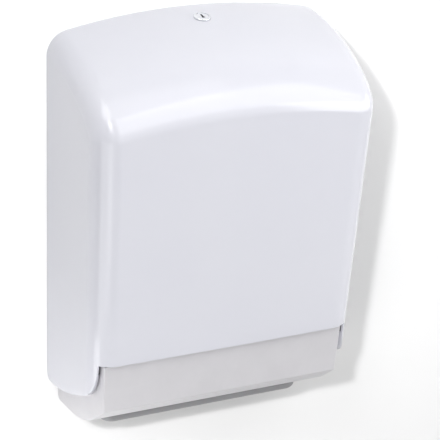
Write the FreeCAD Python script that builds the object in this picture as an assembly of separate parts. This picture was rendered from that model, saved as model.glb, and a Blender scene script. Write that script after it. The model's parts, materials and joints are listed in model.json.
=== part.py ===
import FreeCAD
import Part
import math
import os

# Wall-hung dispenser for folded paper towels: a hood that swings down on two pins in a lower tray, with a key lock.
# Millimetres. X runs to the right, the wall is the plane Y = 0 and the front looks along -Y, Z is up.
# Sizes below are given as depth from the wall (minus Y) and height above the outlet rim's underside.
# The finished pieces are lowered by mount_height, so the origin is the middle of the four wall screws.

mount_height = 215.0
wall_screw_pitch_x = 200.0
wall_screw_pitch_z = 250.0
wall_slot_width = 5.5
wall_slot_length = 12.0

# Hood
hood_half_width = 145.0
hood_height = 405.0
hood_depth = 136.0
hood_wall = 3.0
hood_back_gap = 1.0
hood_corner_radius = 25.0
shoulder_height = 334.0
front_lean = 0.076
arch_drop = 16.4
front_bow = 2.1
side_taper = 0.032
top_handle = 0.40
shoulder_handle = 0.54
hood_front_edge = 91.5
notch_half_width = 129.0

# Tray
tray_half_width = 137.3
tray_depth_taper = 0.0875
tray_draft = 0.04
tray_top = 90.0
tray_back = 2.7
tray_wall = 3.0
tray_floor_height = 3.2
tray_back_radius = 6.0
belly_start = 33.0
belly_radius = 84.0
belly_end_angle = 38.3
panel_top_depth = 111.8
panel_bottom_depth = 108.0
panel_bottom_height = 39.4
panel_edge_radius = 2.0

# Outlet rim: a round bar bent to a rounded rectangle, its middle line
rim_radius = 4.5
rim_half_width = 104.0
rim_back = 16.0
rim_front = 60.0
rim_corner = 9.0

# Back plate
plate_thickness = 2.5
plate_half_width = 138.0
plate_lower_half_width = 130.0
plate_bottom = 12.0
plate_step_height = 96.0
plate_top = 392.0
plate_arch_drop = 14.5
plate_corner = 26.0
plate_flange = 12.0

# Hinge
hinge_depth = 32.0
hinge_height = 44.0
pin_radius = 2.5
pin_fit = 0.05
bush_radius = 4.0
boss_radius = 9.0
tray_boss_radius = 7.0
tray_boss_x = 133.5
clip_thickness = 0.8
clip_groove_radius = 1.9
boss_inner_x = 135.3
bush_flange = 0.6
bush_end_x = 140.4
pin_end_x = 140.2
pin_head_x = 128.2
pin_head_radius = 4.5
open_angle = 95.0

# Stops: a rib inside each hood lobe swings between two padded lugs on the tray
rib_angle = 150.0
rib_half_thickness = 2.0
rib_length = 25.0
rib_inner_x = 136.0
pad_thickness = 2.0
pad_gap = 0.3
lug_thickness = 5.0
lug_outer_x = 137.9

# Lock, lengths along its axis counted inwards from the hood's surface
lock_depth_at_top = 33.0
lock_sink = 0.6
lock_face_height = 1.8
lock_face_radius = 8.3
lock_pad_radius = 12.0
lock_pad_depth = 5.5
barrel_radius = 7.0
barrel_end = 22.6
plug_radius = 5.0
plug_head_radius = 6.2
plug_fit = 0.04
plug_end = 23.2
plug_square = 6.0
cam_reach = 24.0
cam_width = 9.0
cam_thickness = 2.5
cam_rest_angle = 45.0
wafer_count = 5
wafer_pitch = 3.0
wafer_start = 4.0
wafer_thickness = 0.8

# Keeper bracket that the turned cam hooks behind
keeper_left = -24.0
keeper_right = -12.0
keeper_lip_depth = 24.2
keeper_floor = 370.0
keeper_top = 386.0
keeper_thickness = 2.0

# Towel guides
guide_x = 130.0
guide_thickness = 1.5
guide_bottom = 94.0
guide_top = 320.0
guide_reach = 92.0

# Hood springs
spring_height = 298.0
spring_width = 14.0
spring_thickness = 0.6
spring_bulge_x = 141.2
spring_bulge_depth = 24.0
spring_end_depth = 35.0
rivet_pitch = 7.0

# Rubber buffers under the hood's top
buffer_x = 70.0
buffer_radius = 5.0
buffer_gap = 0.4


def at(x, depth, height):
    return FreeCAD.Vector(x, -depth, height)


def face_of(points):
    return Part.Face(Part.makePolygon(points + [points[0]]))


def block(x0, x1, depth0, depth1, height0, height1):
    return Part.makeBox(x1 - x0, depth1 - depth0, height1 - height0, at(x0, depth1, height0))


def rod(radius, start, direction, length):
    return Part.makeCylinder(radius, length, start, direction)


def mirrored(shape):
    return shape.mirror(FreeCAD.Vector(0, 0, 0), FreeCAD.Vector(1, 0, 0))


def largest(shape):
    return max(shape.Solids, key=lambda s: s.Volume)


def save(name, solids):
    group = Part.makeCompound(solids) if len(solids) > 1 else solids[0]
    moved = group.copy()
    moved.translate(FreeCAD.Vector(0, 0, -mount_height))
    for solid in moved.Solids:
        if not solid.isValid():
            print("not valid:", name)
    moved.exportStep(f"parts/{name}.step")
    print(name, len(moved.Solids), round(moved.Volume))


def bezier(points):
    curve = Part.BezierCurve()
    curve.setPoles(points)
    return curve


# Hood outline from the side: a flat top that rounds over to the shoulder, then the leaning front


def hood_section(x, inset, back, bottom):
    depth = hood_depth - inset
    top = hood_height - inset
    across = x / hood_half_width
    drop = FreeCAD.Vector(0, front_bow * across ** 2, -arch_drop * across ** 2)
    over = (top - shoulder_height) * shoulder_handle
    curve_points = [
        at(x, 0, top),
        at(x, depth * top_handle, top),
        at(x, depth + front_lean * over, shoulder_height + over),
        at(x, depth, shoulder_height),
    ]
    curve = bezier([p + drop for p in curve_points])
    front_foot = at(x, depth - front_lean * (shoulder_height - bottom), bottom) + drop
    back_foot = at(x, back, bottom) + drop
    back_top = at(x, back, top) + drop
    edges = [
        Part.makeLine(back_top, curve.StartPoint),
        curve.toShape(),
        Part.makeLine(curve.EndPoint, front_foot),
        Part.makeLine(front_foot, back_foot),
        Part.makeLine(back_foot, back_top),
    ]
    return Part.Wire(edges)


def side_limits(inset, back):
    quads = []
    for depth in (back - 4.0, hood_depth + 12.0):
        slope = side_taper * depth / hood_depth
        low = hood_half_width - inset - slope * (shoulder_height + 20.0)
        high = hood_half_width - inset + slope * (hood_height + 20.0 - shoulder_height)
        corners = [at(-low, depth, -20), at(low, depth, -20), at(high, depth, hood_height + 20)]
        corners.append(at(-high, depth, hood_height + 20))
        quads.append(Part.makePolygon(corners + [corners[0]]))
    return Part.makeLoft(quads, True, True)


def hood_block(inset, back, bottom):
    stations = [hood_half_width * k / 3 for k in (-3.1, -2, -1, 0, 1, 2, 3.1)]
    body = Part.makeLoft([hood_section(x, inset, back, bottom) for x in stations], True, False)
    body = largest(body.common(side_limits(inset, back)))
    rims = []
    for edge in body.Edges:
        middle = edge.valueAt((edge.FirstParameter + edge.LastParameter) / 2)
        faces = body.ancestorsOfType(edge, Part.Face)
        sides = [f for f in faces if abs(f.normalAt(*middle_of(f)).x) > 0.8]
        behind = abs(-middle.y - back) < 2.5
        below = abs(middle.z - bottom) < arch_drop + 1.0
        if len(sides) == 1 and not behind and not below:
            rims.append(edge)
    return largest(body.makeFillet(hood_corner_radius - inset, rims))


def middle_of(face):
    u0, u1, v0, v1 = face.ParameterRange
    return (u0 + u1) / 2, (v0 + v1) / 2


def lobe_cut():
    outline = [
        bezier([at(0, 1, 41), at(0, 1, 33), at(0, 4, 28.6), at(0, 9.5, 28.6)]),
        bezier([at(0, 9.5, 28.6), at(0, 42, 28.8), at(0, 62, 38.8), at(0, 89, 51)]),
        bezier([at(0, 89, 51), at(0, 101, 56.4), at(0, 107.5, 68), at(0, 109.8, hood_front_edge)]),
    ]
    edges = [curve.toShape() for curve in outline]
    around = [
        at(0, 109.8, hood_front_edge),
        at(0, 160, hood_front_edge),
        at(0, 160, -30),
        at(0, -20, -30),
        at(0, -20, 41),
        at(0, 1, 41),
    ]
    for start, end in zip(around, around[1:]):
        edges.append(Part.makeLine(start, end))
    face = Part.Face(Part.Wire(Part.sortEdges(edges)[0]))
    face.translate(FreeCAD.Vector(-200, 0, 0))
    return face.extrude(FreeCAD.Vector(400, 0, 0))


# Lock position: on the hood's top, its axis square to the surface there


def lock_frame():
    depth = hood_depth
    over = (hood_height - shoulder_height) * shoulder_handle
    curve = bezier(
        [
            at(0, 0, hood_height),
            at(0, depth * top_handle, hood_height),
            at(0, depth + front_lean * over, shoulder_height + over),
            at(0, depth, shoulder_height),
        ]
    )
    low, high = 0.0, 0.5
    for _ in range(40):
        middle = (low + high) / 2
        if -curve.value(middle).y < lock_depth_at_top:
            low = middle
        else:
            high = middle
    tangent = curve.tangent(low)[0]
    outward = FreeCAD.Vector(0, tangent.z, -tangent.y)
    return curve.value(low), outward


lock_seat, lock_axis = lock_frame()
lock_tilt = math.degrees(math.atan2(-lock_axis.y, lock_axis.z))


def on_lock_axis(shape):
    """Move a piece built about the Z axis, with the hood's surface at zero, onto the lock's axis."""
    placed = shape.copy()
    placed.rotate(FreeCAD.Vector(0, 0, 0), FreeCAD.Vector(1, 0, 0), lock_tilt)
    placed.translate(lock_seat)
    return placed


def disc(radius, outer, inner):
    """A round piece about the lock's axis, from one distance inwards to another."""
    return Part.makeCylinder(radius, inner - outer, FreeCAD.Vector(0, 0, -inner))


def hinge_point(x):
    return at(x, hinge_depth, hinge_height)


def hinge_rod(radius, x0, x1):
    return rod(radius, hinge_point(x0), FreeCAD.Vector(1, 0, 0), x1 - x0)


def radial_bar(x0, x1, angle, offset0, offset1, reach0, reach1):
    """A bar along a ray from the hinge, between two offsets square to the ray."""
    bar = block(x0, x1, hinge_depth + reach0, hinge_depth + reach1, hinge_height + offset0, hinge_height + offset1)
    bar.rotate(hinge_point(0), FreeCAD.Vector(-1, 0, 0), angle)
    return bar


def hood():
    shell = hood_block(0.0, -6.0, 12.0).cut(hood_block(hood_wall, -14.0, 2.0))
    shell = shell.cut(block(-200, 200, -30, hood_back_gap, -30, 450))
    shell = shell.cut(lobe_cut())
    shell = shell.cut(block(-notch_half_width, notch_half_width, 60, 200, -30, hood_front_edge))
    inside = hood_block(0.5, -14.0, 2.0)
    boss = hinge_rod(boss_radius, boss_inner_x, 150).common(inside)
    rib = radial_bar(rib_inner_x, 150, rib_angle, -rib_half_thickness, rib_half_thickness, 0, rib_length)
    rib = rib.common(inside)
    bush_hole = hinge_rod(bush_radius, boss_inner_x - 1, bush_end_x + 0.1)
    for piece in (boss, rib):
        shell = shell.fuse([piece, mirrored(piece)])
    shell = shell.cut([bush_hole, mirrored(bush_hole)])
    shell = shell.fuse(on_lock_axis(disc(lock_pad_radius, 1.0, lock_pad_depth)))
    lock_hole = disc(barrel_radius + 0.1, -8.0, 12.0).fuse(disc(lock_face_radius + 0.3, -8.0, lock_sink))
    shell = shell.cut(on_lock_axis(lock_hole))
    return largest(shell.removeSplitter())


# Tray: walls round the belly profile, drafted sides


def tray_side_x(depth, height, inset):
    return tray_half_width - inset - tray_depth_taper * depth - tray_draft * (tray_top - height)


def tray_sides(inset):
    quads = []
    for height in (-20.0, 120.0):
        back = tray_side_x(-10.0, height, inset)
        front = tray_side_x(130.0, height, inset)
        corners = [at(-back, -10, height), at(back, -10, height), at(front, 130, height), at(-front, 130, height)]
        quads.append(Part.makePolygon(corners + [corners[0]]))
    return Part.makeLoft(quads, True, True)


def belly_point(angle, inset):
    turn = math.radians(angle)
    reach = belly_radius - inset
    return at(0, belly_start + reach * math.sin(turn), tray_floor_height + belly_radius - reach * math.cos(turn))


def tray_block(inset, back, top, edge_radius, back_radius):
    """The closed belly shape, moved inwards by inset all round."""
    lean = (panel_top_depth - panel_bottom_depth) / (tray_top - panel_bottom_height)
    slope = math.radians(belly_end_angle)
    arc_end = belly_point(belly_end_angle, inset)
    # The straight stretch of the belly meets the panel's line
    panel_at_end = panel_bottom_depth - inset + lean * (arc_end.z - panel_bottom_height)
    run = (panel_at_end + arc_end.y) / (1 - lean * math.tan(slope))
    panel_foot = at(0, -arc_end.y + run, arc_end.z + run * math.tan(slope))
    panel_head = at(0, panel_bottom_depth - inset + lean * (top - panel_bottom_height), top)
    floor = tray_floor_height + inset
    middle = belly_point(belly_end_angle / 2, inset)
    start = belly_point(0, inset)
    edges = [
        Part.makeLine(at(0, back, top), at(0, back, floor)),
        Part.makeLine(at(0, back, floor), start),
        Part.Arc(start, middle, arc_end).toShape(),
        Part.makeLine(arc_end, panel_foot),
        Part.makeLine(panel_foot, panel_head),
        Part.makeLine(panel_head, at(0, back, top)),
    ]
    face = Part.Face(Part.Wire(edges))
    face.translate(FreeCAD.Vector(-160, 0, 0))
    body = face.extrude(FreeCAD.Vector(320, 0, 0)).common(tray_sides(inset))
    body = largest(body)
    body = body.makeFillet(edge_radius, edges_along(body, panel_foot))
    return largest(body.makeFillet(back_radius, edges_along(body, at(0, back, floor))))


def edges_along(body, point):
    """The edges that run across the width through a point of the side view."""
    found = []
    for edge in body.Edges:
        centre = edge.CenterOfMass
        if abs(centre.z - point.z) < 0.5 and abs(centre.y - point.y) < 0.5:
            found.append(edge)
    return found


def side_edges(body, inset):
    """The belly's and the panel's edges along the two side faces."""
    found = []
    for edge in body.Edges:
        centre = edge.CenterOfMass
        on_side = abs(abs(centre.x) - tray_side_x(-centre.y, centre.z, inset)) < 0.6
        at_top = abs(centre.z - tray_top) < 0.5
        at_back = -centre.y < tray_back + 0.5
        if on_side and not at_top and not at_back and len(edge.Vertexes) == 2:
            found.append(edge)
    return found


def rounded_rectangle(half_width, back, front, corner, height):
    x0, x1 = -half_width, half_width
    c = corner
    lines = [
        Part.makeLine(at(x0 + c, front, height), at(x1 - c, front, height)),
        Part.makeLine(at(x1, front - c, height), at(x1, back + c, height)),
        Part.makeLine(at(x1 - c, back, height), at(x0 + c, back, height)),
        Part.makeLine(at(x0, back + c, height), at(x0, front - c, height)),
    ]
    centres = [(x1 - c, front - c, 45), (x1 - c, back + c, -45), (x0 + c, back + c, -135), (x0 + c, front - c, 135)]
    wire = []
    for line, (cx, depth, angle) in zip(lines, centres):
        wire.append(line)
        points = []
        for turn in (angle + 45, angle, angle - 45):
            radians = math.radians(turn)
            points.append(at(cx + c * math.cos(radians), depth + c * math.sin(radians), height))
        wire.append(Part.Arc(*points).toShape())
    return Part.Wire(wire)


def outlet_hole(extra):
    wire = rounded_rectangle(rim_half_width + extra, rim_back - extra, rim_front + extra, rim_corner + extra, -10)
    return Part.Face(wire).extrude(FreeCAD.Vector(0, 0, 60))


def tray():
    outer = tray_block(0.0, tray_back, tray_top, panel_edge_radius, tray_back_radius)
    outer = outer.makeFillet(1.5, side_edges(outer, 0.0))
    inner = tray_block(tray_wall, tray_back + tray_wall, tray_top + 10.0, 1.0, tray_back_radius - tray_wall)
    body = outer.cut(inner)
    # The upper flange of the front strip closes the step behind the hood's edge
    lip = block(-122, 122, panel_top_depth - 9, panel_top_depth - 1, tray_top - tray_wall, tray_top)
    body = body.fuse(lip.common(outer))
    # The rear wall is cut low between two end posts, so a stack reaches the back plate
    body = body.cut(block(-112, 112, -5, tray_back + tray_wall + 1, 34, 120))
    # Hinge bosses inside and stop lugs outside
    boss = hinge_rod(tray_boss_radius, pin_head_x, tray_boss_x)
    body = body.fuse([boss, mirrored(boss)])
    lugs = []
    for angle, offset0 in stop_places():
        lug = radial_bar(129, lug_outer_x, angle, offset0, offset0 + lug_thickness, 11, rib_length)
        lugs.append(lug.cut(tray_block(1.0, tray_back, tray_top + 10.0, 1.0, 4.0)))
    for lug in lugs:
        body = body.fuse([lug, mirrored(lug)])
    # Low ribs stiffen the floor on each side of the outlet
    for x in (-113.0, 113.0):
        rib = block(x - 1, x + 1, 4, 100, 0, 24).common(outer)
        body = body.fuse(rib)
    body = body.cut(outlet_hole(0.0))
    pin_hole = hinge_rod(pin_radius, 120, 140)
    body = body.cut([pin_hole, mirrored(pin_hole)])
    for x, height in tray_screw_places():
        body = body.cut(rod(2.2, at(x, 20, height), FreeCAD.Vector(0, 1, 0), 30))
    return largest(body.removeSplitter())


def stop_places():
    """Angle of the ray and first offset of each lug: the closed stop, then the open stop."""
    gap = rib_half_thickness + pad_gap + pad_thickness
    return [(rib_angle, gap), (rib_angle - open_angle, -gap - lug_thickness)]


def stop_pads():
    pads = []
    for angle, offset0 in stop_places():
        start = offset0 - pad_thickness if offset0 > 0 else offset0 + lug_thickness
        pad = radial_bar(lug_outer_x - 2.2, lug_outer_x - 0.2, angle, start, start + pad_thickness, 12, rib_length - 1)
        pads.append(pad)
        pads.append(mirrored(pad))
    return pads


def outlet_rim(body):
    path = rounded_rectangle(rim_half_width, rim_back, rim_front, rim_corner, rim_radius)
    start = at(0, rim_front, rim_radius)
    section = Part.Wire(Part.makeCircle(rim_radius, start, FreeCAD.Vector(1, 0, 0)))
    # The sweep starts in the middle of the front bar
    halves = []
    for sign in (1, -1):
        halves.append(Part.makeLine(start, at(sign * (rim_half_width - rim_corner), rim_front, rim_radius)))
    rest = [e for e in path.Edges if not on_front_bar(e)]
    loop = Part.Wire(Part.sortEdges([halves[0]] + rest + [halves[1]])[0])
    bar = loop.makePipeShell([section], True, False)
    return largest(bar.cut(body))


def on_front_bar(edge):
    flat = abs(edge.Vertexes[0].Y - edge.Vertexes[-1].Y) < 0.01
    return flat and abs(edge.CenterOfMass.y + rim_front) < 0.01


# Back plate: a pressed sheet with a flange round its sides and top


def plate_outline(inset):
    half = plate_half_width - inset
    low = plate_lower_half_width - inset
    step = plate_step_height
    side_top = plate_top - plate_arch_drop - inset
    left = [at(-half, 0, side_top), at(-half, 0, step + 6), at(-low, 0, step), at(-low, 0, plate_bottom + inset)]
    right = [FreeCAD.Vector(-p.x, p.y, p.z) for p in reversed(left)]
    edges = [Part.makeLine(a, b) for a, b in zip(left, left[1:])]
    edges.append(Part.makeLine(left[-1], right[0]))
    edges.extend(Part.makeLine(a, b) for a, b in zip(right, right[1:]))
    edges.append(Part.Arc(right[-1], at(0, 0, plate_top - inset), left[0]).toShape())
    return Part.Face(Part.Wire(edges))


def plate_block(inset, depth0, depth1):
    face = plate_outline(inset)
    face.translate(FreeCAD.Vector(0, -depth0, 0))
    solid = face.extrude(FreeCAD.Vector(0, depth0 - depth1, 0))
    corners = []
    for edge in solid.Edges:
        centre = edge.CenterOfMass
        along_depth = abs(edge.Vertexes[0].Y - edge.Vertexes[-1].Y) > 1
        if along_depth and centre.z > plate_top - plate_arch_drop - inset - 1:
            corners.append(edge)
    return solid.makeFillet(plate_corner - inset, corners)


def wall_slot(x, height):
    reach = (wall_slot_length - wall_slot_width) / 2
    radius = wall_slot_width / 2
    slot = block(x - reach, x + reach, -2, 10, height - radius, height + radius)
    ends = [rod(radius, at(x + side, -2, height), FreeCAD.Vector(0, -1, 0), 12) for side in (-reach, reach)]
    return slot.fuse(ends)


def wall_screw_places():
    half_x = wall_screw_pitch_x / 2
    half_z = wall_screw_pitch_z / 2
    return [(x, mount_height + z) for x in (-half_x, half_x) for z in (-half_z, half_z)]


def tray_screw_places():
    return [(x, height) for x in (-121.0, 121.0) for height in (22.0, 74.0)]


def guide_screw_places():
    return [(x, height) for x in (-121.0, 121.0) for height in (120.0, 294.0)]


def keeper_screw_places():
    return [(x, 354.0) for x in (-25.0, -11.0)]


def rivet_heights():
    return [spring_height - rivet_pitch / 2, spring_height + rivet_pitch / 2]


def stiffening_rib(x, bottom, top):
    """A raised bead pressed forward in the sheet, with round ends."""
    radius = 5.0
    depth0 = plate_thickness - 0.5
    bead = block(x - radius, x + radius, depth0, plate_thickness + 1.2, bottom, top)
    ends = [rod(radius, at(x, depth0, z), FreeCAD.Vector(0, -1, 0), 1.7) for z in (bottom, top)]
    bead = bead.fuse(ends).removeSplitter()
    front = [e for e in bead.Edges if abs(e.CenterOfMass.y + plate_thickness + 1.2) < 0.01]
    return bead.makeFillet(1.0, front)


def back_plate():
    sheet = plate_block(0.0, 0.0, plate_flange)
    hollow = plate_block(plate_thickness, plate_thickness, plate_flange + 5)
    sheet = sheet.cut(hollow)
    sheet = sheet.cut(block(-200, 200, plate_thickness, 30, -20, plate_step_height + 6))
    sheet = sheet.fuse([stiffening_rib(x, 130, 310) for x in (-70.0, 0.0, 70.0)])
    cuts = [wall_slot(x, height) for x, height in wall_screw_places()]
    for x, height in tray_screw_places() + guide_screw_places() + keeper_screw_places():
        cuts.append(rod(2.0, at(x, -2, height), FreeCAD.Vector(0, -1, 0), 10))
    for height in rivet_heights():
        cuts.append(rod(1.6, at(-150, 7, height), FreeCAD.Vector(1, 0, 0), 300))
    for x in (-buffer_x, buffer_x):
        cuts.append(rod(2.0, at(x, 6, plate_top - 20), FreeCAD.Vector(0, 0, 1), 30))
    return largest(sheet.cut(cuts).removeSplitter())


def pan_screw(seat, direction, radius, length, head_radius, head_height):
    """A pan-head screw with a cross recess; direction points out of the head."""
    shank = rod(radius, seat - direction * length, direction, length)
    head = rod(head_radius, seat, direction, head_height)
    rim = [e for e in head.Edges if (e.CenterOfMass - seat).dot(direction) > head_height / 2 and len(e.Vertexes) == 1]
    head = head.makeFillet(head_height * 0.45, rim)
    recess = Part.makeBox(head_radius, 0.9, 1.2, FreeCAD.Vector(-head_radius / 2, -0.45, -0.6))
    across = recess.copy()
    across.rotate(FreeCAD.Vector(0, 0, 0), FreeCAD.Vector(0, 0, 1), 90)
    turn = FreeCAD.Rotation(FreeCAD.Vector(0, 0, 1), direction)
    for bar in (recess, across):
        bar.Placement = FreeCAD.Placement(seat + direction * (head_height - 0.5), turn).multiply(bar.Placement)
        head = head.cut(bar)
    return shank.fuse(head).removeSplitter()


def front_screws(places, seat_depth, length, head_radius=4.0, head_height=2.4):
    outward = FreeCAD.Vector(0, -1, 0)
    return [pan_screw(at(x, seat_depth, z), outward, 2.0, length, head_radius, head_height) for x, z in places]


# Keeper bracket: a foot on the plate, a floor forwards and an upturned lip


def keeper_bracket():
    back = plate_thickness
    t = keeper_thickness
    foot = block(-32, -4, back, back + t, 344, keeper_floor + t)
    floor = block(keeper_left, keeper_right, back, keeper_lip_depth + t, keeper_floor, keeper_floor + t)
    lip = block(keeper_left, keeper_right, keeper_lip_depth, keeper_lip_depth + t, keeper_floor, keeper_top)
    bracket = foot.fuse([floor, lip]).removeSplitter()
    bends = []
    for edge in bracket.Edges:
        centre = edge.CenterOfMass
        along_x = abs(edge.Vertexes[0].X - edge.Vertexes[-1].X) > 5
        outer_bend = abs(centre.z - keeper_floor) < 0.1 and abs(-centre.y - keeper_lip_depth - t) < 0.1
        if along_x and outer_bend:
            bends.append(edge)
    bracket = bracket.makeFillet(1.8, bends)
    for x, height in keeper_screw_places():
        bracket = bracket.cut(rod(2.2, at(x, 0, height), FreeCAD.Vector(0, -1, 0), 10))
    return bracket


# Towel guides: side plates that keep the stack in line


def guide():
    back = plate_thickness
    t = guide_thickness
    outline = [
        at(guide_x, back, guide_bottom),
        at(guide_x, guide_reach - 14, guide_bottom),
        at(guide_x, guide_reach, guide_bottom + 30),
        at(guide_x, guide_reach, guide_top - 60),
        at(guide_x, back + 40, guide_top),
        at(guide_x, back, guide_top),
    ]
    side = face_of(outline).extrude(FreeCAD.Vector(t, 0, 0))
    corners = []
    for edge in side.Edges:
        centre = edge.CenterOfMass
        along_x = abs(edge.Vertexes[0].X - edge.Vertexes[-1].X) > 0.5 * t
        if along_x and -centre.y > back + 5:
            corners.append(edge)
    side = side.makeFillet(8.0, corners)
    foot = block(113, guide_x + t, back, back + t, guide_bottom + 8, guide_top - 8)
    # A flared front edge leads the stack in
    flare = face_of([
        at(guide_x, guide_reach - 2, guide_bottom + 40),
        at(guide_x + t, guide_reach - 2, guide_bottom + 40),
        at(guide_x + t + 2, guide_reach + 4, guide_bottom + 40),
        at(guide_x + 2, guide_reach + 4, guide_bottom + 40),
    ]).extrude(FreeCAD.Vector(0, 0, guide_top - guide_bottom - 110))
    body = side.fuse([foot, flare]).removeSplitter()
    for height in (160.0, 207.0, 254.0):
        window = block(guide_x - 5, guide_x + 8, 28, 68, height - 10, height + 10)
        rounded = [e for e in window.Edges if abs(e.Vertexes[0].X - e.Vertexes[-1].X) > 5]
        body = body.cut(window.makeFillet(9.0, rounded))
    for x, height in guide_screw_places():
        body = body.cut(rod(2.2, at(x, 0, height), FreeCAD.Vector(0, -1, 0), 10))
    return largest(body)


# Hinge pieces on the right


def hinge_pin():
    shank = hinge_rod(pin_radius, pin_head_x, pin_end_x)
    tip = [e for e in shank.Edges if e.CenterOfMass.x > pin_end_x - 0.5]
    shank = shank.makeFillet(0.8, tip)
    head = hinge_rod(pin_head_radius, pin_head_x - 2, pin_head_x)
    rim = [e for e in head.Edges if e.CenterOfMass.x < pin_head_x - 1 and len(e.Vertexes) == 1]
    head = head.makeFillet(0.8, rim)
    groove = clip_ring(pin_radius + 1)
    return shank.fuse(head).cut(groove).removeSplitter()


def clip_ring(radius):
    end = tray_boss_x + clip_thickness
    return hinge_rod(radius, tray_boss_x, end).cut(hinge_rod(clip_groove_radius, tray_boss_x, end))


def hinge_clip():
    x0 = tray_boss_x
    clip = clip_ring(5.2)
    clip = clip.cut(block(x0, x0 + 1, hinge_depth - 1.6, hinge_depth + 1.6, hinge_height, hinge_height + 10))
    for side in (-1, 1):
        notch_at = at(x0, hinge_depth + side * 3.3, hinge_height - 1.2)
        clip = clip.cut(rod(1.0, notch_at, FreeCAD.Vector(1, 0, 0), 1))
    return largest(clip)


def hinge_bush():
    sleeve = hinge_rod(bush_radius, boss_inner_x, bush_end_x)
    flange = hinge_rod(6.2, boss_inner_x - bush_flange, boss_inner_x)
    return sleeve.fuse(flange).cut(hinge_rod(pin_radius + pin_fit, 130, 145)).removeSplitter()


# Lock pieces, built about the Z axis with the hood's surface at zero


def lock_barrel():
    face = disc(lock_face_radius, -lock_face_height, lock_sink)
    rim = [e for e in face.Edges if e.CenterOfMass.z > lock_face_height - 0.1]
    face = face.makeFillet(0.9, rim)
    body = face.fuse(disc(barrel_radius, lock_sink, barrel_end))
    body = body.cut(disc(plug_head_radius + plug_fit, -5.0, -0.2))
    body = body.cut(disc(plug_radius + plug_fit, -5.0, 30.0))
    return on_lock_axis(body.removeSplitter())


def wafer_slots():
    slots = []
    width, reach = 5.0, 6.0
    for k in range(wafer_count):
        height = -wafer_start - wafer_pitch * k
        corner = FreeCAD.Vector(-width / 2, -reach, height - wafer_thickness / 2)
        slot = Part.makeBox(width, 2 * reach, wafer_thickness, corner)
        slots.append(slot.common(disc(plug_radius - 0.05, 0.0, plug_end)))
    return slots


def keyhole(length):
    hole = Part.makeBox(1.8, 7.0, length, FreeCAD.Vector(-0.9, -3.5, 3.0 - length))
    return hole.fuse(Part.makeBox(3.2, 2.0, length, FreeCAD.Vector(-1.6, -3.5, 3.0 - length)))


def lock_plug():
    plug = disc(plug_head_radius, -1.5, -0.25).fuse(disc(plug_radius, -0.25, plug_end))
    half = plug_square / 2
    square = Part.makeBox(plug_square, plug_square, cam_thickness, FreeCAD.Vector(-half, -half, -plug_end - cam_thickness))
    plug = plug.fuse(square).cut(keyhole(22.0))
    plug = plug.cut(wafer_slots())
    plug = plug.cut(disc(1.9, plug_end - 3.0, 30.0))
    return on_lock_axis(largest(plug.removeSplitter()))


def lock_wafers():
    window = Part.makeBox(2.4, 6.0, 30.0, FreeCAD.Vector(-1.2, -3.0, -28.0))
    return [on_lock_axis(wafer.cut(window)) for wafer in wafer_slots()]


def lock_cam():
    half = cam_width / 2
    arm = Part.makeBox(cam_reach - half, cam_width, cam_thickness, FreeCAD.Vector(0, -half, 0))
    tip = Part.makeCylinder(half, cam_thickness, FreeCAD.Vector(cam_reach - half, 0, 0))
    root = Part.makeCylinder(7.0, cam_thickness)
    cam = arm.fuse([tip, root]).removeSplitter()
    cam.rotate(FreeCAD.Vector(0, 0, 0), FreeCAD.Vector(0, 0, 1), cam_rest_angle)
    hole = Part.makeBox(plug_square, plug_square, 10, FreeCAD.Vector(-plug_square / 2, -plug_square / 2, -3))
    cam = cam.cut(hole)
    cam.translate(FreeCAD.Vector(0, 0, -plug_end - cam_thickness))
    return on_lock_axis(cam)


def hexagon(across_flats, height, level):
    radius = across_flats / math.sqrt(3)
    corners = []
    for k in range(6):
        turn = math.radians(60 * k)
        corners.append(FreeCAD.Vector(radius * math.cos(turn), radius * math.sin(turn), level))
    return face_of(corners).extrude(FreeCAD.Vector(0, 0, height))


def lock_nut():
    top = -lock_pad_depth - 0.8
    nut = hexagon(19.0, 4.0, top - 4.0)
    nut = nut.common(Part.makeCone(9.6, 12.0, 4.0, FreeCAD.Vector(0, 0, top - 4.0)))
    return on_lock_axis(nut.cut(Part.makeCylinder(barrel_radius, 30, FreeCAD.Vector(0, 0, -25))))


def lock_washer():
    ring = disc(10.5, lock_pad_depth, lock_pad_depth + 0.8)
    return on_lock_axis(ring.cut(disc(barrel_radius + 0.3, 0.0, 10.0)))


def cam_washer():
    level = plug_end + cam_thickness
    return on_lock_axis(disc(4.8, level, level + 0.8).cut(disc(2.1, level, level + 0.8)))


def cam_screw():
    level = plug_end + cam_thickness + 0.8
    seat = FreeCAD.Vector(0, 0, -level)
    return on_lock_axis(pan_screw(seat, FreeCAD.Vector(0, 0, -1), 1.9, 6.0, 3.8, 2.2))


# Hood springs: bowed strips riveted outside the plate's side flange


def hood_spring():
    t = spring_thickness
    root = plate_half_width
    low = spring_height - spring_width / 2
    near, bulge, end = 13.0, spring_bulge_depth, spring_end_depth
    edges = [
        Part.makeLine(at(root, 1.5, low), at(root, near, low)),
        Part.Arc(at(root, near, low), at(spring_bulge_x - t, bulge, low), at(root - t, end, low)).toShape(),
        Part.makeLine(at(root - t, end, low), at(root, end, low)),
        Part.Arc(at(root, end, low), at(spring_bulge_x, bulge, low), at(root + t, near, low)).toShape(),
        Part.makeLine(at(root + t, near, low), at(root + t, 1.5, low)),
        Part.makeLine(at(root + t, 1.5, low), at(root, 1.5, low)),
    ]
    strip = Part.Face(Part.Wire(edges)).extrude(FreeCAD.Vector(0, 0, spring_width))
    holes = [rod(1.6, at(130, 7, z), FreeCAD.Vector(1, 0, 0), 20) for z in rivet_heights()]
    return strip.cut(holes)


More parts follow.
